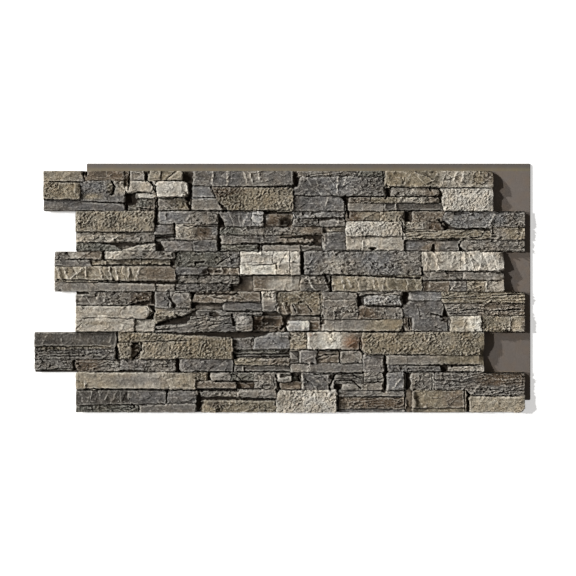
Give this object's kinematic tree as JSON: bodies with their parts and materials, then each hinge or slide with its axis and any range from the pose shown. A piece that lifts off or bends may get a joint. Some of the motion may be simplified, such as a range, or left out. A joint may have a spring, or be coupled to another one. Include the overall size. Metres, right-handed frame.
{
  "type": "faux stone wall panel",
  "caption": "Interlocking wall cladding panel moulded as dry-stacked ledge stone, with stepped ends and lap flanges.",
  "frame": {"origin": "middle of the whole outline, at the flat back face", "axes": "+X along the courses to the side flange, +Y up the wall to the top flange, +Z out of the wall"},
  "size_m": [1.241, 0.623, 0.0317],
  "materials": {
    "painted_polyurethane": "matt, sprayed in greys, tans and creams over a dark brown-grey base"
  },
  "bodies": {
    "root": {"stone_panel": "painted_polyurethane"}
  },
  "joints": []
}
